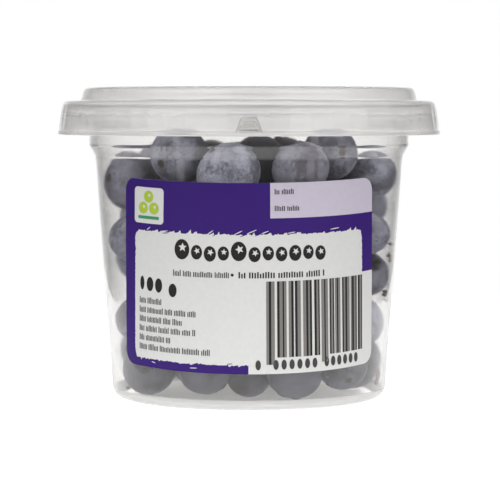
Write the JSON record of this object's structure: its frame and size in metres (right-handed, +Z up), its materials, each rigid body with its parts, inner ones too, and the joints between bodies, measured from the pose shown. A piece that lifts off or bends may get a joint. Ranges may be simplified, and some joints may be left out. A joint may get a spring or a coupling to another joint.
{
  "type": "punnet of blueberries",
  "caption": "Round clear plastic tub with a stepped push-on lid, filled with blueberries, and a curved paper label across the front.",
  "frame": {"origin": "middle of the tub's foot, on the surface it stands on", "axes": "+Z up along the tub's axis, -Y towards the side that carries the label, +X to the right of someone who faces the label"},
  "size_m": [0.09, 0.0901, 0.0729],
  "materials": {
    "tub_plastic": "clear, faintly milky thin polypropylene, glossy",
    "lid_plastic": "clear, slightly milkier thin plastic with fine upright ribs on the skirt",
    "label_paper": "satin printed paper: deep purple ground with a white panel and a lilac box",
    "berry_skin": null
  },
  "bodies": {
    "root": {"tub": "tub_plastic", "lid": "lid_plastic", "label": "label_paper", "berries": "berry_skin"}
  },
  "joints": []
}
